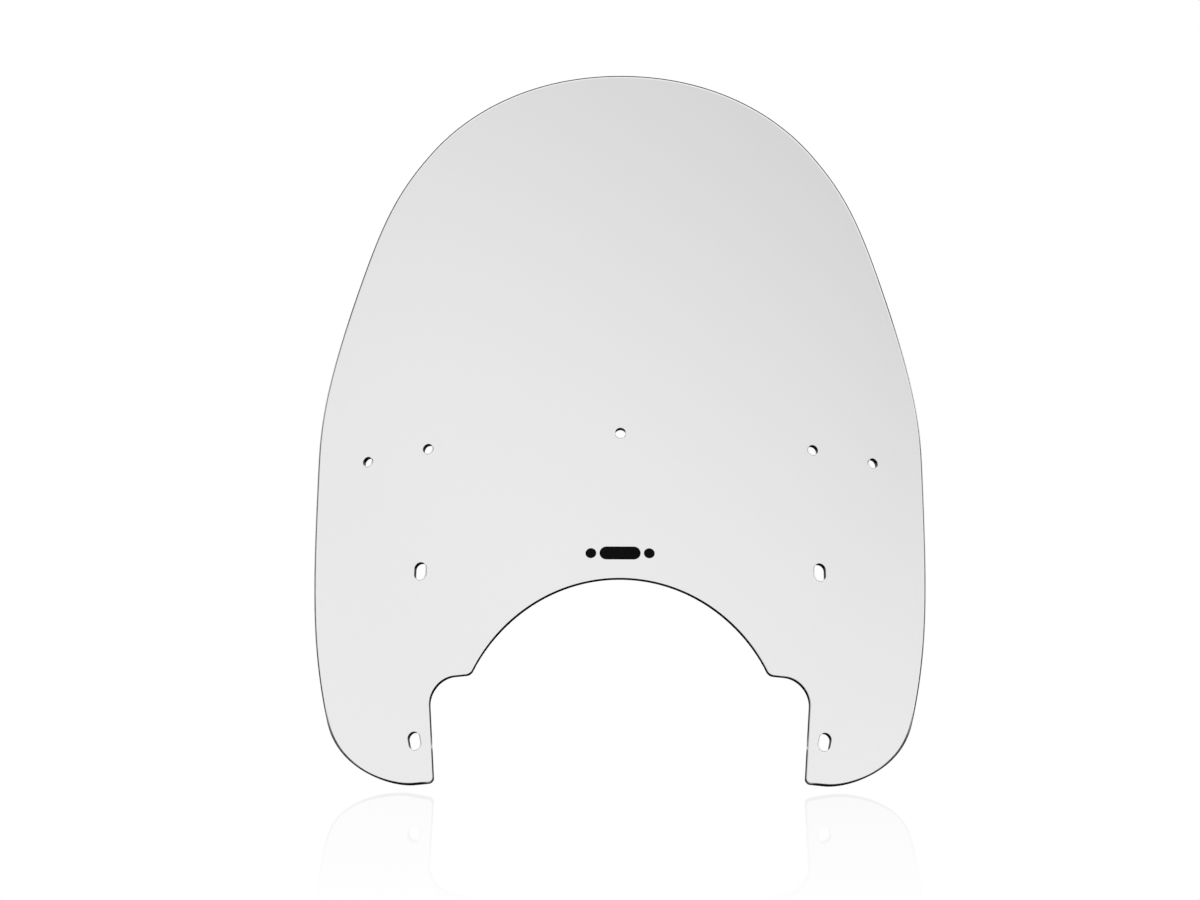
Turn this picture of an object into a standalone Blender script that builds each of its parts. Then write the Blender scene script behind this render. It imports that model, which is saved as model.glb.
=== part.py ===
"""Touring motorcycle windshield screen: one bent sheet of clear acrylic with a cut-vinyl mark.

The sheet is laid out flat and then bent. Its flat pattern has two coordinates, both lengths along
the middle of the sheet from the centre bolt hole: a runs across to the rider's left and right, and
b runs up. A third, w, is the height above the middle of the sheet, towards the convex front.
The origin is the centre of the centre bolt hole, X runs across, -Y forwards and +Z up.
"""
import math

import bmesh
import bpy
from mathutils import Matrix, Vector
from mathutils.geometry import interpolate_bezier

MM = 0.001

# Driving dimensions of the bent sheet.
THICKNESS = 5.0 * MM
RAKE = math.radians(27.0)          # lean of the sheet from upright, at the row of bolt holes
SIDE_RADIUS = 510.0 * MM           # bend from side to side
HEIGHT_RADIUS = 5000.0 * MM        # slight bend from top to bottom

# Outer edge of the flat pattern, right half, from the top centre to the foot of the leg:
# (a, b) in mm, direction of travel in degrees, then the Bezier handle lengths before and after.
OUTER_EDGE = [
    ((0.0, 425.5), 0.0, 0.0, 104.0),        # crown
    ((199.0, 355.0), -46.0, 47.0, 60.0),    # shoulder
    ((283.0, 193.0), -72.0, 92.0, 109.0),   # flank
    ((316.5, 5.0), -91.0, 51.0, 130.0),     # widest part
    ((287.0, -266.0), -106.5, 87.0, 47.0),  # start of the foot's bend
    ((190.0, -338.0), -180.0, 27.5, 0.0),   # foot
]
EDGE_STEPS = 10                    # straight steps in each stretch of the outer edge
ARCH_STEPS = 18                    # and in half the headlamp arch
CORNER_STEP = math.radians(15.0)   # turn of each straight step round a rounded corner

# Headlamp cut-out of the flat pattern, between the two legs.
ARCH_RADIUS = 153.0 * MM
ARCH_CENTRE_B = -303.0 * MM
SHELF_B = -238.0 * MM              # level of the two small shelves beside the arch
LEG_TOP_A = 179.9 * MM             # inner side of a leg, where it would meet the shelf
LEG_FOOT_A = 171.3 * MM            # and at its foot
FOOT_B = -338.0 * MM
SHELF_CORNER_RADIUS = 7.0 * MM
LEG_TOP_RADIUS = 24.0 * MM
FOOT_CORNER_RADIUS = 5.0 * MM

# Fixing holes: a centre one, two more on each side of it in a row, and two slots down each side.
HOLE_DIAMETER = 10.0 * MM
HOLE_ROW_A = [
    ("inner", 189.0 * MM),
    ("outer", 255.5 * MM),
]
SLOT_WIDTH = 11.5 * MM
SLOT_LENGTH = 17.5 * MM
SLOTS = [                          # a, b, and how far its top leans outwards
    ("mid", 192.0 * MM, -128.5 * MM, 0.0),
    ("lower", 191.5 * MM, -296.5 * MM, math.radians(13.0)),
]
SIDES = (("left", -1.0), ("right", 1.0))    # as seen from the front

# Mark of black cut vinyl: a bar with a dot at each end, on the front above the cut-out.
MARK_B = -125.0 * MM
MARK_BAR_LENGTH = 38.0 * MM
MARK_BAR_HEIGHT = 13.0 * MM
MARK_DOT_DIAMETER = 10.0 * MM
MARK_PITCH = 27.0 * MM             # centre of the bar to the centre of a dot
VINYL_THICKNESS = 0.3 * MM
VINYL_GAP = 0.3 * MM               # adhesive between the vinyl and the sheet

# The blank that the sheet is trimmed from, divided into the cells that follow the bends.
CELL_A = 22.0 * MM
CELL_B = 42.0 * MM
CELLS_ACROSS = 30
CELLS_UP = 20
BLANK_CENTRE_B = 21.0 * MM
TRIM_DEPTH = 20.0 * MM
MARK_CELL = 6.0 * MM               # the vinyl's cells

HOLE_SIDES = 24
MARK_END_STEPS = 12
CUTTER_LENGTH = 30.0 * MM
MERGE_DISTANCE = 0.001 * MM
SHARP_ANGLE = math.radians(30.0)   # edges sharper than this keep flat shading across them


def clear_scene():
    for thing in list(bpy.data.objects):
        bpy.data.objects.remove(thing, do_unlink=True)


def new_collection(name):
    collection = bpy.data.collections.new(name)
    bpy.context.scene.collection.children.link(collection)
    return collection


def principled(name, colour, roughness, ior, transmission):
    material = bpy.data.materials.new(name)
    material.use_nodes = True
    material.diffuse_color = (*colour, 1.0)
    shader = material.node_tree.nodes["Principled BSDF"]
    shader.inputs["Base Color"].default_value = (*colour, 1.0)
    shader.inputs["Metallic"].default_value = 0.0
    shader.inputs["Roughness"].default_value = roughness
    shader.inputs["IOR"].default_value = ior
    shader.inputs["Transmission Weight"].default_value = transmission
    return material


def bend_frame(a, b):
    """The bent middle surface at (a, b): its point, and its across, up and outward directions."""
    lean = RAKE + b / HEIGHT_RADIUS
    turn = a / SIDE_RADIUS
    spine = Vector((
        0.0,
        HEIGHT_RADIUS * (math.cos(RAKE) - math.cos(lean)),
        HEIGHT_RADIUS * (math.sin(lean) - math.sin(RAKE)),
    ))
    forward = Vector((0.0, -math.cos(lean), math.sin(lean)))
    right = Vector((1.0, 0.0, 0.0))
    up = Vector((0.0, math.sin(lean), math.cos(lean)))
    point = spine + right * SIDE_RADIUS * math.sin(turn)
    point -= forward * SIDE_RADIUS * (1.0 - math.cos(turn))
    across = right * math.cos(turn) - forward * math.sin(turn)
    outward = forward * math.cos(turn) + right * math.sin(turn)
    return point, across, up, outward


def bend(mesh):
    """Moves each vertex from the flat pattern (a, b, w) to its place on the bent sheet."""
    for vertex in mesh.vertices:
        a, b, w = vertex.co
        point, _, _, outward = bend_frame(a, b)
        vertex.co = point + outward * w
    mesh.update()


def bezier_stretch(start, end):
    """Points along one stretch of the outer edge, without its last one."""
    (start_point, start_angle, _, out_length), (end_point, end_angle, in_length, _) = start, end
    start_point = Vector(start_point)
    end_point = Vector(end_point)
    angle_out = math.radians(start_angle)
    angle_in = math.radians(end_angle)
    handle_out = start_point + out_length * Vector((math.cos(angle_out), math.sin(angle_out)))
    handle_in = end_point - in_length * Vector((math.cos(angle_in), math.sin(angle_in)))
    points = interpolate_bezier(start_point, handle_out, handle_in, end_point, EDGE_STEPS + 1)
    return [point.to_2d() * MM for point in points[:-1]]


def fillet(before, corner, after, radius):
    """Points of the arc that rounds a corner between two straight edges."""
    towards_before = (before - corner).normalized()
    towards_after = (after - corner).normalized()
    half = 0.5 * towards_before.angle(towards_after)
    centre = corner + (towards_before + towards_after).normalized() * radius / math.sin(half)
    start = corner + towards_before * radius / math.tan(half) - centre
    end = corner + towards_after * radius / math.tan(half) - centre
    sweep = end.angle_signed(start)
    steps = math.ceil(abs(sweep) / CORNER_STEP)
    return [centre + Matrix.Rotation(sweep * i / steps, 2) @ start for i in range(steps + 1)]


def on_arch(angle):
    """Point of the headlamp arch at this angle from the right."""
    return Vector((ARCH_RADIUS * math.cos(angle), ARCH_CENTRE_B + ARCH_RADIUS * math.sin(angle)))


def half_outline():
    """Right half of the flat pattern, from the top centre round to the top of the arch."""
    points = []
    for start, end in zip(OUTER_EDGE, OUTER_EDGE[1:]):
        points += bezier_stretch(start, end)
    outer_foot = Vector(OUTER_EDGE[-1][0]) * MM
    inner_foot = Vector((LEG_FOOT_A, FOOT_B))
    leg_top = Vector((LEG_TOP_A, SHELF_B))
    shelf_angle = math.asin((SHELF_B - ARCH_CENTRE_B) / ARCH_RADIUS)
    shelf_end = on_arch(shelf_angle)
    points.append(outer_foot)
    points += fillet(outer_foot, inner_foot, leg_top, FOOT_CORNER_RADIUS)
    points += fillet(inner_foot, leg_top, shelf_end, LEG_TOP_RADIUS)
    start_angle = shelf_angle + SHELF_CORNER_RADIUS / ARCH_RADIUS
    points += fillet(leg_top, shelf_end, on_arch(start_angle), SHELF_CORNER_RADIUS)
    for i in range(1, ARCH_STEPS + 1):
        points.append(on_arch(start_angle + (math.pi / 2.0 - start_angle) * i / ARCH_STEPS))
    return points


def curve_plate(name, points, depth, level):
    """A closed plate in the flat pattern: a filled outline, given a thickness about w = level."""
    data = bpy.data.curves.new(name, "CURVE")
    data.dimensions = "2D"
    data.fill_mode = "BOTH"
    data.extrude = depth / 2.0
    spline = data.splines.new("POLY")
    spline.points.add(len(points) - 1)
    for target, point in zip(spline.points, points):
        target.co = (point.x, point.y, 0.0, 1.0)
    spline.use_cyclic_u = True
    outline = bpy.data.objects.new(f"{name}_outline", data)
    bpy.context.scene.collection.objects.link(outline)
    mesh = evaluated_mesh(outline)
    mesh.name = name
    bpy.data.objects.remove(outline, do_unlink=True)
    work = bmesh.new()
    work.from_mesh(mesh)
    bmesh.ops.remove_doubles(work, verts=work.verts, dist=MERGE_DISTANCE)
    bmesh.ops.translate(work, verts=work.verts, vec=(0.0, 0.0, level))
    bmesh.ops.recalc_face_normals(work, faces=work.faces)
    work.to_mesh(mesh)
    work.free()
    return mesh


def gridded_blank():
    """The uncut rectangular sheet, flat, with its faces divided into cells ready for bending."""
    work = bmesh.new()
    bmesh.ops.create_grid(work, x_segments=CELLS_ACROSS, y_segments=CELLS_UP, size=0.5)
    bmesh.ops.scale(work, verts=work.verts, vec=(CELLS_ACROSS * CELL_A, CELLS_UP * CELL_B, 1.0))
    bmesh.ops.translate(work, verts=work.verts, vec=(0.0, BLANK_CENTRE_B, -THICKNESS / 2.0))
    extruded = bmesh.ops.extrude_face_region(work, geom=work.faces[:])
    raised = [item for item in extruded["geom"] if isinstance(item, bmesh.types.BMVert)]
    bmesh.ops.translate(work, verts=raised, vec=(0.0, 0.0, THICKNESS))
    bmesh.ops.recalc_face_normals(work, faces=work.faces)
    mesh = bpy.data.meshes.new("sheet_blank")
    work.to_mesh(mesh)
    work.free()
    return mesh


def add_boolean(target, operation, cutter):
    modifier = target.modifiers.new(f"{operation.lower()}_{cutter.name}", "BOOLEAN")
    modifier.operation = operation
    modifier.solver = "EXACT"
    modifier.object = cutter


def evaluated_mesh(thing):
    bpy.context.view_layer.update()
    return bpy.data.meshes.new_from_object(
        thing.evaluated_get(bpy.context.evaluated_depsgraph_get())
    )


def triangulate(mesh):
    work = bmesh.new()
    work.from_mesh(mesh)
    bmesh.ops.triangulate(work, faces=work.faces, quad_method="FIXED", ngon_method="BEAUTY")
    work.to_mesh(mesh)
    work.free()


def make_screen(material, parts):
    """The sheet, trimmed to its outline while flat and then bent, before its holes are drilled."""
    right = half_outline()
    left = [Vector((-point.x, point.y)) for point in reversed(right[1:-1])]
    trim_mesh = curve_plate("sheet_trim", right + left, TRIM_DEPTH, 0.0)
    trim = bpy.data.objects.new("sheet_trim", trim_mesh)
    blank = bpy.data.objects.new("sheet_blank", gridded_blank())
    bpy.context.scene.collection.objects.link(trim)
    bpy.context.scene.collection.objects.link(blank)
    add_boolean(blank, "INTERSECT", trim)
    mesh = evaluated_mesh(blank)
    mesh.name = "screen"
    bpy.data.objects.remove(blank, do_unlink=True)
    bpy.data.objects.remove(trim, do_unlink=True)
    triangulate(mesh)
    bend(mesh)
    mesh.materials.append(material)
    screen = bpy.data.objects.new("screen", mesh)
    parts.objects.link(screen)
    return screen


def hole_cutter(name, a, b, width, length, lean, cutters):
    """A drill set square to the sheet, pulled apart into a slot where length is more than width."""
    work = bmesh.new()
    half_step = Matrix.Rotation(math.pi / HOLE_SIDES, 4, "Z")
    bmesh.ops.create_cone(
        work, cap_ends=True, segments=HOLE_SIDES, radius1=width / 2.0, radius2=width / 2.0,
        depth=CUTTER_LENGTH, matrix=half_step,
    )
    travel = (length - width) / 2.0
    for vertex in work.verts:
        vertex.co.y += math.copysign(travel, vertex.co.y)
    mesh = bpy.data.meshes.new(name)
    work.to_mesh(mesh)
    work.free()
    point, across, up, outward = bend_frame(a, b)
    facing = Matrix((across, up, outward)).transposed().to_4x4()
    cutter = bpy.data.objects.new(name, mesh)
    cutter.matrix_world = Matrix.Translation(point) @ facing @ Matrix.Rotation(-lean, 4, "Z")
    cutter.hide_render = True
    cutter.display_type = "WIRE"
    cutters.objects.link(cutter)
    return cutter


def drill(screen, cutters):
    """Cuts the five round holes and the four slots."""
    fixings = [("hole_centre", 0.0, 0.0, HOLE_DIAMETER, HOLE_DIAMETER, 0.0)]
    for side, sign in SIDES:
        for place, a in HOLE_ROW_A:
            name = f"hole_{place}_{side}"
            fixings.append((name, sign * a, 0.0, HOLE_DIAMETER, HOLE_DIAMETER, 0.0))
        for place, a, b, lean in SLOTS:
            name = f"slot_{place}_{side}"
            fixings.append((name, sign * a, b, SLOT_WIDTH, SLOT_LENGTH, sign * lean))
    for fixing in fixings:
        add_boolean(screen, "DIFFERENCE", hole_cutter(*fixing, cutters))


def rounded_bar(centre_a, length, height):
    """Outline of a bar with round ends, which is a disc where length and height are the same."""
    radius = height / 2.0
    reach = (length - height) / 2.0
    points = []
    for side, first_angle in ((1.0, -math.pi / 2.0), (-1.0, math.pi / 2.0)):
        centre = Vector((centre_a + side * reach, MARK_B))
        for i in range(MARK_END_STEPS):
            angle = first_angle + math.pi * (i + 0.5) / MARK_END_STEPS
            points.append(centre + radius * Vector((math.cos(angle), math.sin(angle))))
    return points


def slice_across(mesh, pitch):
    """Divides a flat plate at even steps of a, so that it can follow the bend."""
    work = bmesh.new()
    work.from_mesh(mesh)
    first = math.ceil(min(vertex.co.x for vertex in work.verts) / pitch)
    last = math.floor(max(vertex.co.x for vertex in work.verts) / pitch)
    for i in range(first, last + 1):
        geometry = work.verts[:] + work.edges[:] + work.faces[:]
        bmesh.ops.bisect_plane(work, geom=geometry, plane_co=(i * pitch, 0, 0), plane_no=(1, 0, 0))
    work.to_mesh(mesh)
    work.free()


def make_mark_piece(name, outline, parts):
    """One piece of vinyl, bent to lie on the front of the sheet."""
    level = THICKNESS / 2.0 + VINYL_GAP + VINYL_THICKNESS / 2.0
    mesh = curve_plate(name, outline, VINYL_THICKNESS, level)
    slice_across(mesh, MARK_CELL)
    triangulate(mesh)
    bend(mesh)
    mesh.materials.append(principled(f"black_vinyl_{name}", (0.012, 0.012, 0.013), 0.45, 1.5, 0.0))
    piece = bpy.data.objects.new(name, mesh)
    parts.objects.link(piece)
    return piece


def make_mark(parts):
    bar = rounded_bar(0.0, MARK_BAR_LENGTH, MARK_BAR_HEIGHT)
    pieces = [make_mark_piece("mark_bar", bar, parts)]
    for side, sign in SIDES:
        dot = rounded_bar(sign * MARK_PITCH, MARK_DOT_DIAMETER, MARK_DOT_DIAMETER)
        pieces.append(make_mark_piece(f"mark_dot_{side}", dot, parts))
    return pieces


def main():
    clear_scene()
    parts = new_collection("windshield_screen")
    cutters = new_collection("cutters")
    acrylic = principled("clear_acrylic", (0.86, 0.87, 0.87), 0.03, 1.49, 1.0)
    screen = make_screen(acrylic, parts)
    drill(screen, cutters)
    for piece in [screen] + make_mark(parts):
        piece.data.shade_smooth()
        piece.data.set_sharp_from_angle(angle=SHARP_ANGLE)


main()
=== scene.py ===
"""Looks of the touring motorcycle windshield screen: polished clear acrylic and a cut-vinyl mark.

Both are shaped in the sheet's flat pattern and then bent. The flat pattern has two coordinates,
both lengths along the middle of the sheet from the centre bolt hole: a runs across and b runs up.
A third, w, is the height above the middle of the sheet, towards the convex front.
"""
import math

import bpy
from mathutils import Matrix, Vector
from mathutils.geometry import delaunay_2d_cdt, interpolate_bezier


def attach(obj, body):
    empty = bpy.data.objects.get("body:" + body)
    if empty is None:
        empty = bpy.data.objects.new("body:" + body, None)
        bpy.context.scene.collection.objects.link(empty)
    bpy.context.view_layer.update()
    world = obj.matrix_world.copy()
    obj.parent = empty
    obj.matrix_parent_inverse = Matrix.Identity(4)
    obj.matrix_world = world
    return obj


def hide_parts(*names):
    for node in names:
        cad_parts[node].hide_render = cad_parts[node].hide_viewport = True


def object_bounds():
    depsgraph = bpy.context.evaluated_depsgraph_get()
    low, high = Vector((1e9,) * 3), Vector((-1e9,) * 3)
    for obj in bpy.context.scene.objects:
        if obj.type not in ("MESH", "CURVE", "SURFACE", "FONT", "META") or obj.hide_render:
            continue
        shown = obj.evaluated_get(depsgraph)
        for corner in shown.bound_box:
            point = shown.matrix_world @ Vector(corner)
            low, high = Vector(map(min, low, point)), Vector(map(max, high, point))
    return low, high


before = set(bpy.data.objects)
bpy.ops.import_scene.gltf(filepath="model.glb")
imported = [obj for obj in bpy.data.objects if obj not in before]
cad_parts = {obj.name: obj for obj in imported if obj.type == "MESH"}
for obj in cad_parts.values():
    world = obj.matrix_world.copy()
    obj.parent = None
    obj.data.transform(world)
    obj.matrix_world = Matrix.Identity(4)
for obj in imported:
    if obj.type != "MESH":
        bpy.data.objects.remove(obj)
cad_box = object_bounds()

MM = 0.001

# Driving dimensions of the bent sheet, as in the CAD.
THICKNESS = 5.0 * MM
RAKE = math.radians(27.0)
SIDE_RADIUS = 510.0 * MM
HEIGHT_RADIUS = 5000.0 * MM

# Outer edge of the flat pattern, right half, from the top centre to the foot of the leg:
# (a, b) in mm, direction of travel in degrees, then the Bezier handle lengths before and after.
OUTER_EDGE = [
    ((0.0, 425.5), 0.0, 0.0, 104.0),        # crown
    ((199.0, 355.0), -46.0, 47.0, 60.0),    # shoulder
    ((283.0, 193.0), -72.0, 92.0, 109.0),   # flank
    ((316.5, 5.0), -91.0, 51.0, 130.0),     # widest part
    ((287.0, -266.0), -106.5, 87.0, 47.0),  # start of the foot's bend
    ((190.0, -338.0), -180.0, 27.5, 0.0),   # foot
]

# Headlamp cut-out between the two legs.
ARCH_RADIUS = 153.0 * MM
ARCH_CENTRE_B = -303.0 * MM
SHELF_B = -238.0 * MM
LEG_TOP_A = 179.9 * MM
LEG_FOOT_A = 171.3 * MM
FOOT_B = -338.0 * MM
SHELF_CORNER_RADIUS = 7.0 * MM
LEG_TOP_RADIUS = 24.0 * MM
FOOT_CORNER_RADIUS = 5.0 * MM

# Fixing holes: (a, b, lean of the top outwards, width, length).
ROUND = (10.0 * MM, 10.0 * MM)
SLOT = (11.5 * MM, 17.5 * MM)
CENTRE_HOLE = (0.0, 0.0, 0.0, *ROUND)
SIDE_HOLES = [
    (189.0 * MM, 0.0, 0.0, *ROUND),
    (255.5 * MM, 0.0, 0.0, *ROUND),
    (192.0 * MM, -128.5 * MM, 0.0, *SLOT),
    (191.5 * MM, -296.5 * MM, math.radians(13.0), *SLOT),
]

# Mark of cut vinyl.
MARK_B = -125.0 * MM
MARK_BAR_LENGTH = 38.0 * MM
MARK_BAR_HEIGHT = 13.0 * MM
MARK_DOT_DIAMETER = 10.0 * MM
MARK_PITCH = 27.0 * MM
VINYL_BACK = THICKNESS / 2.0 + 0.03 * MM    # the adhesive side
VINYL_FRONT = THICKNESS / 2.0 + 0.33 * MM

# Rounding of the edges. The outline's changes over the stretches below, each given as where it
# starts and where it is complete.
OUTLINE_EDGE_RADIUS = 1.0 * MM
CROWN_EDGE_RADIUS = 1.6 * MM
FOOT_EDGE_RADIUS = 1.9 * MM
ARCH_EDGE_RADIUS = 0.3 * MM
HOLE_EDGE_RADIUS = 0.35 * MM
VINYL_EDGE_RADIUS = 0.08 * MM
CROWN_RISE = (60.0 * MM, 240.0 * MM)        # b
FOOT_DROP = (245.0 * MM, 285.0 * MM)        # -b
FOOT_CORNER = (506.0 * MM, 520.0 * MM)      # |a| - b, which is largest on the outer side of a foot
ARCH_RISE = (-225.0 * MM, -180.0 * MM)      # b
ARCH_REACH = (154.0 * MM, 153.5 * MM)       # distance from the arch's centre

# Fineness of the meshes. A cell is the spacing of the points inside an outline, across and up. The
# clearance is the least that they keep from the outline's points, as a share of the cell's shorter
# side.
ROUNDING_STEPS = 6
EDGE_STEPS = 44
CORNER_STEP = math.radians(6.0)
ARCH_STEP = math.radians(1.2)
HOLE_SIDES = 72
SHEET_CELL = (9.0 * MM, 18.0 * MM)
VINYL_CELL = (1.5 * MM, 1.5 * MM)
CLEARANCE = 0.45
MERGE_DISTANCE = 1e-7

# Acrylic. A pair is the least and the most of a value that varies over the sheet.
ACRYLIC_IOR = 1.49
TINT = 0.90
TINT_DENSITY = 260.0
WIPED_ROUGHNESS = (0.004, 0.018)
SCRATCH_ROUGHNESS = 0.05
SAWN_ROUGHNESS = (0.06, 0.12)
DRILLED_ROUGHNESS = 0.22
PAINTED_SHADE_COLOUR = 0.01                          # painted shade on the edge of the feet's outer curve, standing in for the dark surroundings that it refracts

# Vinyl, with pairs as above.
VINYL_IOR = 1.46
VINYL_SPECULAR = 0.1
VINYL_COLOUR = (0.002, 0.004)
VINYL_ROUGHNESS = (0.38, 0.5)

# Floor. It is a little below the feet, and its sheen fades over a stretch of distance from its middle.
FLOOR_GAP = 2.8 * MM
FLOOR_SIZE = 400.0
FLOOR_ROUGHNESS = 0.02
FLOOR_SHEEN = 0.12
FLOOR_SHEEN_REACH = (0.25, 0.75)

# Light that comes through the sheet, by the X and Z of the direction that it comes from.
FADE_DIRECTION = (0.572, 0.820)             # X and Z of the way in which the backdrop darkens
FADE_STRETCH = (-0.067, 0.262)
FADE_LIGHT = (0.996, 0.743)
OVERHEAD_STRETCH = (0.22, 0.42)             # Z
OVERHEAD_LIGHT = 0.03

# Light that falls on the sheet, by the X, Y and Z of the direction that it comes from.
HORIZON_STRETCH = (-0.25, -0.02)            # Z
BELOW_LIGHT = 0.02
CEILING_STRETCH = (0.3, 0.6)                # Z
CEILING_LIGHT = 0.5
FLAG_DEPTH = (0.1, 0.4)                     # Y
FLAG_SIDE = (0.3, 0.5)                      # |X|
FLAG_TOP = (0.3, 0.5)                       # Z
FLAG_DARKNESS = 0.65

# Camera, with its lens and its sensor's width in millimetres, and its shift as a share of that width.
CAMERA_PLACE = (0.0, -2.4, -0.0154)
CAMERA_ROLL = math.radians(-0.17)
CAMERA_LENS = 75.7
CAMERA_SENSOR = 36.0
CAMERA_SHIFT = -0.017
CAMERA_REACH = 1000.0


# ---------------------------------------------------------------- the bend

def bend_frame(a, b):
    """The bent middle surface at (a, b): its point, and its across, up and outward directions."""
    lean = RAKE + b / HEIGHT_RADIUS
    turn = a / SIDE_RADIUS
    spine = Vector((
        0.0,
        HEIGHT_RADIUS * (math.cos(RAKE) - math.cos(lean)),
        HEIGHT_RADIUS * (math.sin(lean) - math.sin(RAKE)),
    ))
    forward = Vector((0.0, -math.cos(lean), math.sin(lean)))
    right = Vector((1.0, 0.0, 0.0))
    up = Vector((0.0, math.sin(lean), math.cos(lean)))
    point = spine + right * SIDE_RADIUS * math.sin(turn)
    point -= forward * SIDE_RADIUS * (1.0 - math.cos(turn))
    across = right * math.cos(turn) - forward * math.sin(turn)
    outward = forward * math.cos(turn) + right * math.sin(turn)
    return point, across, up, outward


# ---------------------------------------------------------------- outlines

def bezier_stretch(start, end):
    """Points along one stretch of the outer edge, without its last one."""
    (start_point, start_angle, _, out_length), (end_point, end_angle, in_length, _) = start, end
    start_point = Vector(start_point)
    end_point = Vector(end_point)
    angle_out = math.radians(start_angle)
    angle_in = math.radians(end_angle)
    handle_out = start_point + out_length * Vector((math.cos(angle_out), math.sin(angle_out)))
    handle_in = end_point - in_length * Vector((math.cos(angle_in), math.sin(angle_in)))
    points = interpolate_bezier(start_point, handle_out, handle_in, end_point, EDGE_STEPS + 1)
    return [point.to_2d() * MM for point in points[:-1]]


def fillet(before, corner, after, radius):
    """Points of the arc that rounds a corner between two straight edges."""
    towards_before = (before - corner).normalized()
    towards_after = (after - corner).normalized()
    half = 0.5 * towards_before.angle(towards_after)
    centre = corner + (towards_before + towards_after).normalized() * radius / math.sin(half)
    start = corner + towards_before * radius / math.tan(half) - centre
    end = corner + towards_after * radius / math.tan(half) - centre
    sweep = end.angle_signed(start)
    steps = math.ceil(abs(sweep) / CORNER_STEP)
    return [centre + Matrix.Rotation(sweep * i / steps, 2) @ start for i in range(steps + 1)]


def on_arch(angle):
    """Point of the headlamp arch at this angle from the right."""
    return Vector((ARCH_RADIUS * math.cos(angle), ARCH_CENTRE_B + ARCH_RADIUS * math.sin(angle)))


def sheet_outline():
    """The whole outer edge and headlamp cut-out, clockwise from the top centre."""
    half = []
    for start, end in zip(OUTER_EDGE, OUTER_EDGE[1:]):
        half += bezier_stretch(start, end)
    outer_foot = Vector(OUTER_EDGE[-1][0]) * MM
    inner_foot = Vector((LEG_FOOT_A, FOOT_B))
    leg_top = Vector((LEG_TOP_A, SHELF_B))
    shelf_angle = math.asin((SHELF_B - ARCH_CENTRE_B) / ARCH_RADIUS)
    start_angle = shelf_angle + SHELF_CORNER_RADIUS / ARCH_RADIUS
    half.append(outer_foot)
    half += fillet(outer_foot, inner_foot, leg_top, FOOT_CORNER_RADIUS)
    half += fillet(inner_foot, leg_top, on_arch(shelf_angle), LEG_TOP_RADIUS)
    half += fillet(leg_top, on_arch(shelf_angle), on_arch(start_angle), SHELF_CORNER_RADIUS)
    steps = math.ceil((math.pi / 2.0 - start_angle) / ARCH_STEP)
    for i in range(1, steps + 1):
        half.append(on_arch(start_angle + (math.pi / 2.0 - start_angle) * i / steps))
    mirrored = [Vector((-point.x, point.y)) for point in reversed(half[1:-1])]
    return half + mirrored


def slot_outline(a, b, lean, width, length, clockwise):
    """A slot with round ends, upright before its top leans over, or a circle where width is length."""
    turn = Matrix.Rotation(-lean, 2)
    travel = (length - width) / 2.0
    points = []
    for i in range(HOLE_SIDES):
        angle = 2.0 * math.pi * (i + 0.5) / HOLE_SIDES
        offset = Vector((math.cos(angle), math.sin(angle))) * width / 2.0
        offset.y += math.copysign(travel, offset.y)
        points.append(Vector((a, b)) + turn @ offset)
    return points[::-1] if clockwise else points


def outward_normals(loop):
    """In-plane directions away from the material, which lies on the right of a loop's travel."""
    normals = []
    for i, point in enumerate(loop):
        before = (point - loop[i - 1]).normalized()
        after = (loop[(i + 1) % len(loop)] - point).normalized()
        along = (before + after).normalized()
        normals.append(Vector((-along.y, along.x)))
    return normals


# ---------------------------------------------------------------- plates

def inside(point, loop):
    """True if a point is within a closed loop, by counting the edges that cross the line to its right."""
    crossings = 0
    for i, end in enumerate(loop):
        start = loop[i - 1]
        if (start.y > point.y) != (end.y > point.y):
            across = start.x + (end.x - start.x) * (point.y - start.y) / (end.y - start.y)
            crossings += across > point.x
    return crossings % 2 == 1


def fill(loops, cell):
    """Fills a loop and its holes: all the points, the triangles, and each loop's point numbers."""
    points = []
    numbers = []
    edges = []
    for loop in loops:
        first = len(points)
        count = len(loop)
        points += loop
        numbers.append(list(range(first, first + count)))
        edges += [(first + i, first + (i + 1) % count) for i in range(count)]
    outer = loops[0]
    low = Vector((min(p.x for p in outer), min(p.y for p in outer)))
    high = Vector((max(p.x for p in outer), max(p.y for p in outer)))
    border = [point for loop in loops for point in loop]
    reach = CLEARANCE * min(cell)
    cells = {}
    for point in border:
        cells.setdefault((round(point.x / reach), round(point.y / reach)), []).append(point)
    for row in range(math.ceil(low.y / cell[1]), math.floor(high.y / cell[1]) + 1):
        for column in range(math.ceil(low.x / cell[0]), math.floor(high.x / cell[0]) + 1):
            point = Vector((column * cell[0], row * cell[1]))
            column_key = round(point.x / reach)
            row_key = round(point.y / reach)
            crowded = any(
                (column_key + i, row_key + j) in cells for i in (-1, 0, 1) for j in (-1, 0, 1)
            )
            if not crowded and sum(inside(point, loop) for loop in loops) == 1:
                points.append(point)
    found, _, triangles, *_ = delaunay_2d_cdt(points, edges, [], 0, MERGE_DISTANCE)
    kept = []
    for triangle in triangles:
        middle = sum((found[i] for i in triangle), Vector((0.0, 0.0))) / 3.0
        if sum(inside(middle, loop) for loop in loops) == 1:
            kept.append(triangle)
    return found, kept, numbers


def save_attribute(mesh, name, kind, field, values):
    """Stores a value for each point of a mesh, under a name that the materials read."""
    attribute = mesh.attributes.new(name, kind, "POINT")
    attribute.data.foreach_set(field, values)


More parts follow.
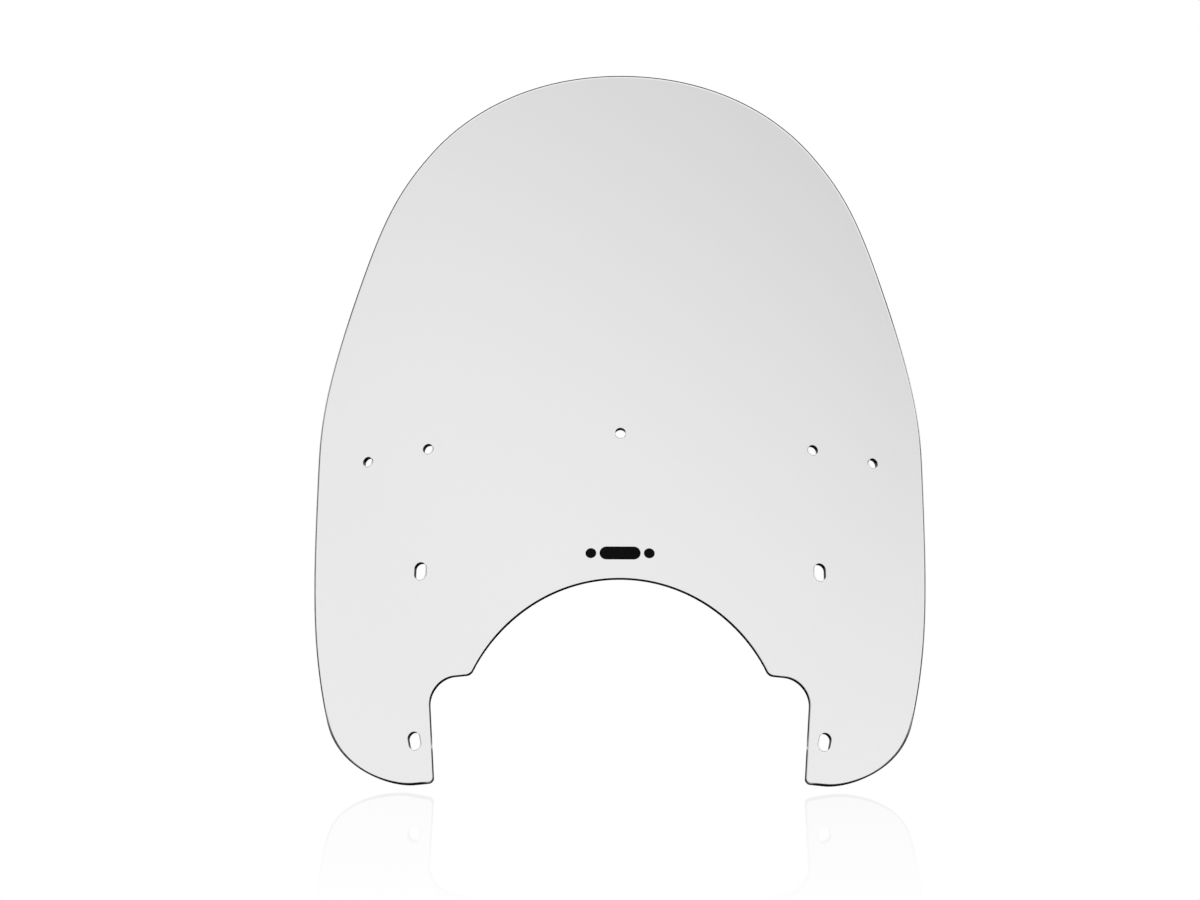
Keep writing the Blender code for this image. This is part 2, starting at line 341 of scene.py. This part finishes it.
def plate(name, loops, back, front, radii, cell):
    """A bent plate between w = back and w = front, with its rims rounded to each point's radius.

    It carries three attributes: flat_pattern, which is (a, b, w), rim, which is 0 on the faces and 1
    square to them, and bored, which is 1 on the walls of the holes.
    """
    normals = [outward_normals(loop) for loop in loops]
    inset = [
        [point - normal * radius for point, normal, radius in zip(*edge)]
        for edge in zip(loops, normals, radii)
    ]
    flat, triangles, numbers = fill(inset, cell)
    vertices = []
    facings = []
    for w, facing in ((front, 1.0), (back, -1.0)):
        vertices += [Vector((point.x, point.y, w)) for point in flat]
        facings += [Vector((0.0, 0.0, facing))] * len(flat)
    faces = [tuple(triangle) for triangle in triangles]
    faces += [tuple(i + len(flat) for i in reversed(triangle)) for triangle in triangles]
    angles = [math.pi / 2.0 * (1.0 - i / ROUNDING_STEPS) for i in range(1, ROUNDING_STEPS + 1)]
    profile = [(front, 1.0, angle) for angle in angles]
    profile += [(back, -1.0, angle) for angle in reversed(angles)]
    for loop, sides, reach, first_ring in zip(inset, normals, radii, numbers):
        rings = [first_ring]
        for level, sign, angle in profile:
            rings.append(list(range(len(vertices), len(vertices) + len(loop))))
            for point, side, radius in zip(loop, sides, reach):
                facing = Vector((*(side * math.cos(angle)), sign * math.sin(angle)))
                vertices.append(Vector((*point, level - sign * radius)) + facing * radius)
                facings.append(facing)
        rings.append([i + len(flat) for i in first_ring])
        for upper, lower in zip(rings, rings[1:]):
            for i in range(len(loop)):
                faces.append((upper[i - 1], upper[i], lower[i], lower[i - 1]))
    outside_holes = 2 * len(flat) + len(profile) * len(loops[0])
    bored = [0.0] * outside_holes + [1.0] * (len(vertices) - outside_holes)
    bent = []
    bent_facings = []
    for (a, b, w), facing in zip(vertices, facings):
        point, across, up, outward = bend_frame(a, b)
        bent.append(point + outward * w)
        bent_facings.append(across * facing.x + up * facing.y + outward * facing.z)
    mesh = bpy.data.meshes.new(name)
    mesh.from_pydata(bent, [], faces)
    mesh.shade_smooth()
    mesh.normals_split_custom_set_from_vertices(bent_facings)
    pattern = [value for vertex in vertices for value in vertex]
    save_attribute(mesh, "flat_pattern", "FLOAT_VECTOR", "vector", pattern)
    save_attribute(mesh, "rim", "FLOAT", "value", [1.0 - abs(facing.z) for facing in facings])
    save_attribute(mesh, "bored", "FLOAT", "value", bored)
    piece = bpy.data.objects.new(name, mesh)
    bpy.context.scene.collection.objects.link(piece)
    return piece


def share(value, low, high):
    """0 at low, 1 at high, and smooth between them. Low may be the larger of the two."""
    t = min(max((value - low) / (high - low), 0.0), 1.0)
    return t * t * (3.0 - 2.0 * t)


def outline_radius(point):
    """Radius of the outline's rounding: larger round the crown and the feet, smaller on the arch."""
    crown = share(point.y, *CROWN_RISE)
    foot = share(-point.y, *FOOT_DROP) * share(abs(point.x) - point.y, *FOOT_CORNER)
    from_arch_centre = (point - Vector((0.0, ARCH_CENTRE_B))).length
    arch = share(point.y, *ARCH_RISE) * share(from_arch_centre, *ARCH_REACH)
    radius = OUTLINE_EDGE_RADIUS
    radius += (CROWN_EDGE_RADIUS - OUTLINE_EDGE_RADIUS) * crown
    radius += (FOOT_EDGE_RADIUS - OUTLINE_EDGE_RADIUS) * foot
    radius += (ARCH_EDGE_RADIUS - OUTLINE_EDGE_RADIUS) * arch
    return radius


def make_sheet():
    """The acrylic sheet with its nine holes."""
    loops = [sheet_outline(), slot_outline(*CENTRE_HOLE, False)]
    for a, b, lean, width, length in SIDE_HOLES:
        for side in (-1.0, 1.0):
            loops.append(slot_outline(side * a, b, side * lean, width, length, False))
    half = THICKNESS / 2.0
    radii = [[outline_radius(point) for point in loops[0]]]
    radii += [[HOLE_EDGE_RADIUS] * len(loop) for loop in loops[1:]]
    return plate("clear_sheet", loops, -half, half, radii, SHEET_CELL)


def make_mark():
    """The bar and the two dots, each with the CAD node that it stands for."""
    quarter_turn = math.pi / 2.0
    shapes = [("vinyl_bar", "mark_bar", 0.0, MARK_BAR_HEIGHT, MARK_BAR_LENGTH)]
    for side, sign in (("left", -1.0), ("right", 1.0)):
        dot = (MARK_DOT_DIAMETER, MARK_DOT_DIAMETER)
        shapes.append((f"vinyl_dot_{side}", f"mark_dot_{side}", sign * MARK_PITCH, *dot))
    pieces = []
    for name, node, a, width, length in shapes:
        loop = slot_outline(a, MARK_B, quarter_turn, width, length, True)
        radii = [[VINYL_EDGE_RADIUS] * len(loop)]
        piece = plate(name, [loop], VINYL_BACK, VINYL_FRONT, radii, VINYL_CELL)
        pieces.append((piece, node))
    return pieces


# ---------------------------------------------------------------- materials

def new_material(name):
    material = bpy.data.materials.new(name)
    material.use_nodes = True
    tree = material.node_tree
    return material, tree, tree.nodes["Principled BSDF"]


def add_node(tree, kind, **settings):
    node = tree.nodes.new(kind)
    for key, value in settings.items():
        setattr(node, key, value)
    return node


def feed(tree, socket, source):
    """Links a node's output to a socket, or sets the socket to a plain value."""
    if isinstance(source, bpy.types.NodeSocket):
        tree.links.new(source, socket)
    else:
        socket.default_value = source


def sheet_pattern(tree, scale, turn=0.0):
    """Texture coordinates that lie along the sheet, in metres times scale, turned within it."""
    attribute = add_node(tree, "ShaderNodeAttribute", attribute_name="flat_pattern")
    mapping = add_node(tree, "ShaderNodeMapping")
    mapping.inputs["Rotation"].default_value = (0.0, 0.0, turn)
    mapping.inputs["Scale"].default_value = scale
    tree.links.new(attribute.outputs["Vector"], mapping.inputs["Vector"])
    return mapping.outputs["Vector"]


def grey(level):
    return (level, level, level, 1.0)


def noise(tree, vector, scale, detail=2.0, roughness=0.5):
    node = add_node(tree, "ShaderNodeTexNoise")
    feed(tree, node.inputs["Vector"], vector)
    node.inputs["Scale"].default_value = scale
    node.inputs["Detail"].default_value = detail
    node.inputs["Roughness"].default_value = roughness
    return node.outputs["Fac"]


def map_range(tree, value, from_low, from_high, to_low, to_high, curve="LINEAR"):
    node = add_node(tree, "ShaderNodeMapRange", interpolation_type=curve)
    feed(tree, node.inputs["Value"], value)
    for name, number in zip(
        ("From Min", "From Max", "To Min", "To Max"), (from_low, from_high, to_low, to_high)
    ):
        feed(tree, node.inputs[name], number)
    return node.outputs["Result"]


def smooth_step(tree, value, stretch, start, end):
    """Goes smoothly from start to end as the value crosses a stretch."""
    return map_range(tree, value, *stretch, start, end, "SMOOTHSTEP")


def maths(tree, operation, first, second):
    node = add_node(tree, "ShaderNodeMath", operation=operation)
    feed(tree, node.inputs[0], first)
    feed(tree, node.inputs[1], second)
    return node.outputs["Value"]


def mix_colours(tree, amount, first, second):
    node = add_node(tree, "ShaderNodeMix", data_type="RGBA")
    sockets = {socket.identifier: socket for socket in node.inputs}
    feed(tree, sockets["Factor_Float"], amount)
    feed(tree, sockets["A_Color"], first)
    feed(tree, sockets["B_Color"], second)
    return next(socket for socket in node.outputs if socket.identifier == "Result_Color")


def bump(tree, height, strength, distance, below=None):
    node = add_node(tree, "ShaderNodeBump")
    node.inputs["Strength"].default_value = strength
    node.inputs["Distance"].default_value = distance
    feed(tree, node.inputs["Height"], height)
    if below is not None:
        tree.links.new(below, node.inputs["Normal"])
    return node.outputs["Normal"]


def hairlines(tree, turn):
    """Scattered fine scratches, 1 where there is one, along a direction within the sheet."""
    streaks = noise(tree, sheet_pattern(tree, (420.0, 9.0, 1.0), turn), scale=3.0, detail=1.0)
    patches = noise(tree, sheet_pattern(tree, (11.0, 11.0, 1.0), turn), scale=1.0, detail=2.0)
    thin = map_range(tree, streaks, 0.70, 0.74, 0.0, 1.0)
    where = map_range(tree, patches, 0.52, 0.66, 0.0, 1.0)
    return maths(tree, "MULTIPLY", thin, where)


def painted_foot_shade(tree, rim):
    """1 on the edge of the feet's outer curve, where shade is painted, and 0 elsewhere."""
    axes = add_node(tree, "ShaderNodeSeparateXYZ")
    tree.links.new(sheet_pattern(tree, (1.0, 1.0, 1.0)), axes.inputs[0])
    outwards = maths(tree, "ABSOLUTE", axes.outputs["X"], 0.0)
    corner = maths(tree, "SUBTRACT", outwards, axes.outputs["Y"])
    at_corner = smooth_step(tree, corner, FOOT_CORNER, 0.0, 1.0)
    drop_start, drop_end = FOOT_DROP
    low = smooth_step(tree, axes.outputs["Y"], (-drop_end, -drop_start), 1.0, 0.0)
    on_rim = map_range(tree, rim, 0.004, 0.04, 0.0, 1.0)
    return maths(tree, "MULTIPLY", maths(tree, "MULTIPLY", at_corner, low), on_rim)


def acrylic_roughness(tree, edge_share):
    """Polished faces with haze and scratches, finely sawn outer edges, and satin drilled holes."""
    wiping = noise(tree, sheet_pattern(tree, (5.0, 5.0, 5.0)), scale=1.0, detail=5.0, roughness=0.6)
    haze = map_range(tree, wiping, 0.35, 0.75, *WIPED_ROUGHNESS)
    scratches = maths(tree, "ADD", hairlines(tree, 0.6), hairlines(tree, -1.1))
    faces = maths(tree, "ADD", haze, maths(tree, "MULTIPLY", scratches, SCRATCH_ROUGHNESS))
    edge_grain = noise(tree, sheet_pattern(tree, (1.0, 1.0, 3.0)), scale=900.0, detail=2.0)
    sawn = map_range(tree, edge_grain, 0.3, 0.7, *SAWN_ROUGHNESS)
    bored = add_node(tree, "ShaderNodeAttribute", attribute_name="bored").outputs["Fac"]
    edge = map_range(tree, bored, 0.0, 1.0, sawn, DRILLED_ROUGHNESS)
    return map_range(tree, edge_share, 0.0, 1.0, faces, edge)


def acrylic_relief(tree, edge_share):
    """Slow waves over the whole sheet, and machining lines along its edges."""
    waves = noise(tree, sheet_pattern(tree, (9.0, 6.0, 1.0)), scale=1.0, detail=1.0)
    ripple = bump(tree, waves, strength=0.25, distance=0.6 * MM)
    machining = noise(tree, sheet_pattern(tree, (60.0, 60.0, 2500.0)), scale=1.0, detail=1.0)
    tooled = maths(tree, "MULTIPLY", machining, edge_share)
    return bump(tree, tooled, strength=0.15, distance=0.1 * MM, below=ripple)


def clear_acrylic():
    """Clear acrylic with a light neutral tint, and painted shade, dark and opaque, on part of the feet's
    edge.
    """
    material, tree, shader = new_material("clear_acrylic")
    shader.inputs["Metallic"].default_value = 0.0
    shader.inputs["IOR"].default_value = ACRYLIC_IOR
    rim = add_node(tree, "ShaderNodeAttribute", attribute_name="rim").outputs["Fac"]
    edge_share = map_range(tree, rim, 0.2, 0.9, 0.0, 1.0)
    # Painted shade: the feet's outer edge is coloured dark and made opaque, standing in for the dark
    # surroundings that it refracts.
    painted_shade = painted_foot_shade(tree, rim)
    colour = mix_colours(tree, painted_shade, grey(1.0), grey(PAINTED_SHADE_COLOUR))
    clearness = map_range(tree, painted_shade, 0.0, 1.0, 1.0, 0.0)
    tree.links.new(colour, shader.inputs["Base Color"])
    tree.links.new(clearness, shader.inputs["Transmission Weight"])
    tree.links.new(acrylic_roughness(tree, edge_share), shader.inputs["Roughness"])
    tree.links.new(acrylic_relief(tree, edge_share), shader.inputs["Normal"])
    absorption = add_node(tree, "ShaderNodeVolumeAbsorption")
    absorption.inputs["Color"].default_value = grey(TINT)
    absorption.inputs["Density"].default_value = TINT_DENSITY
    output = tree.nodes["Material Output"]
    tree.links.new(absorption.outputs["Volume"], output.inputs["Volume"])
    return material


def black_vinyl():
    """Cast sign vinyl: black, satin, with a faint orange peel and dust-fine grain."""
    material, tree, shader = new_material("black_vinyl")
    shader.inputs["Metallic"].default_value = 0.0
    shader.inputs["IOR"].default_value = VINYL_IOR
    shader.inputs["Specular IOR Level"].default_value = VINYL_SPECULAR
    pattern = sheet_pattern(tree, (1.0, 1.0, 1.0))
    tone = noise(tree, pattern, scale=160.0, detail=4.0, roughness=0.6)
    darkest, lightest = VINYL_COLOUR
    shade = mix_colours(tree, tone, grey(darkest), grey(lightest))
    roughness = map_range(tree, tone, 0.3, 0.7, *VINYL_ROUGHNESS)
    peel = noise(tree, pattern, scale=1400.0, detail=2.0)
    relief = bump(tree, peel, strength=0.2, distance=0.05 * MM)
    tree.links.new(shade, shader.inputs["Base Color"])
    tree.links.new(roughness, shader.inputs["Roughness"])
    tree.links.new(relief, shader.inputs["Normal"])
    return material


# ---------------------------------------------------------------- studio

def make_floor(level):
    """A white floor with a faint sheen about the feet. Only the camera sees it, so it lights nothing."""
    bpy.ops.mesh.primitive_plane_add(size=FLOOR_SIZE, location=(0.0, 0.0, level))
    floor = bpy.context.object
    floor.name = "studio_floor"
    material = bpy.data.materials.new("studio_floor")
    material.use_nodes = True
    tree = material.node_tree
    tree.nodes.clear()
    glow = add_node(tree, "ShaderNodeEmission")
    glow.inputs["Color"].default_value = grey(1.0)
    gloss = add_node(tree, "ShaderNodeBsdfGlossy")
    gloss.inputs["Color"].default_value = grey(1.0)
    gloss.inputs["Roughness"].default_value = FLOOR_ROUGHNESS
    place = add_node(tree, "ShaderNodeTexCoord")
    distance = add_node(tree, "ShaderNodeVectorMath", operation="LENGTH")
    tree.links.new(place.outputs["Object"], distance.inputs[0])
    sheen = map_range(tree, distance.outputs["Value"], *FLOOR_SHEEN_REACH, FLOOR_SHEEN, 0.0)
    mix = add_node(tree, "ShaderNodeMixShader")
    tree.links.new(sheen, mix.inputs["Fac"])
    output = add_node(tree, "ShaderNodeOutputMaterial")
    tree.links.new(glow.outputs[0], mix.inputs[1])
    tree.links.new(gloss.outputs[0], mix.inputs[2])
    tree.links.new(mix.outputs[0], output.inputs["Surface"])
    floor.data.materials.append(material)
    floor.visible_diffuse = False
    floor.visible_glossy = False
    floor.visible_transmission = False
    floor.visible_shadow = False


def backdrop_light(tree, axes):
    """Light through the sheet: bright, darker towards the upper right, almost black overhead."""
    across, up = FADE_DIRECTION
    lean = maths(tree, "ADD", maths(tree, "MULTIPLY", axes["X"], across),
                 maths(tree, "MULTIPLY", axes["Z"], up))
    backdrop = smooth_step(tree, lean, FADE_STRETCH, *FADE_LIGHT)
    overhead = smooth_step(tree, axes["Z"], OVERHEAD_STRETCH, 1.0, OVERHEAD_LIGHT)
    return maths(tree, "MULTIPLY", backdrop, overhead)


def room_light(tree, axes):
    """Light on the sheet: white walls, almost black below, a dim ceiling, and a flag on each side."""
    walls = smooth_step(tree, axes["Z"], HORIZON_STRETCH, BELOW_LIGHT, 1.0)
    ceiling = smooth_step(tree, axes["Z"], CEILING_STRETCH, 1.0, CEILING_LIGHT)
    behind = smooth_step(tree, axes["Y"], FLAG_DEPTH, 0.0, FLAG_DARKNESS)
    sideways = maths(tree, "ABSOLUTE", axes["X"], 0.0)
    aside = smooth_step(tree, sideways, FLAG_SIDE, 0.0, 1.0)
    below_top = smooth_step(tree, axes["Z"], FLAG_TOP, 1.0, 0.0)
    flags = maths(tree, "MULTIPLY", maths(tree, "MULTIPLY", behind, aside), below_top)
    shade = maths(tree, "SUBTRACT", 1.0, flags)
    return maths(tree, "MULTIPLY", maths(tree, "MULTIPLY", walls, ceiling), shade)


def make_world():
    """White to the camera, the backdrop to rays through the sheet, and the room to all others."""
    world = bpy.data.worlds.new("studio")
    bpy.context.scene.world = world
    world.use_nodes = True
    tree = world.node_tree
    tree.nodes.clear()
    place = add_node(tree, "ShaderNodeTexCoord")
    split = add_node(tree, "ShaderNodeSeparateXYZ")
    tree.links.new(place.outputs["Generated"], split.inputs[0])
    axes = split.outputs
    rays = add_node(tree, "ShaderNodeLightPath").outputs
    around = map_range(tree, rays["Is Transmission Ray"], 0.0, 1.0,
                       room_light(tree, axes), backdrop_light(tree, axes))
    seen = map_range(tree, rays["Is Camera Ray"], 0.0, 1.0, around, 1.0)
    light = add_node(tree, "ShaderNodeBackground")
    light.inputs["Color"].default_value = grey(1.0)
    tree.links.new(seen, light.inputs["Strength"])
    output = add_node(tree, "ShaderNodeOutputWorld")
    tree.links.new(light.outputs[0], output.inputs["Surface"])


def make_camera():
    """Straight in front, just below the row of bolt holes."""
    data = bpy.data.cameras.new("camera")
    data.sensor_width = CAMERA_SENSOR
    data.lens = CAMERA_LENS
    data.shift_x = CAMERA_SHIFT
    data.clip_end = CAMERA_REACH
    camera = bpy.data.objects.new("camera", data)
    camera.location = CAMERA_PLACE
    camera.rotation_euler = (math.pi / 2.0, CAMERA_ROLL, 0.0)
    bpy.context.scene.collection.objects.link(camera)
    bpy.context.scene.camera = camera


# ---------------------------------------------------------------- assembly

sheet = make_sheet()
sheet.data.materials.append(clear_acrylic())
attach(sheet, "root")
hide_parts("screen")

vinyl = black_vinyl()
for piece, node in make_mark():
    piece.data.materials.append(vinyl)
    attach(piece, "root")
    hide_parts(node)

make_camera()
make_world()
make_floor(cad_box[0].z - FLOOR_GAP)

scene = bpy.context.scene
scene.view_settings.view_transform = "Standard"
scene.cycles.max_bounces = 12
scene.cycles.glossy_bounces = 8
scene.cycles.transmission_bounces = 12
scene.cycles.use_denoising = True
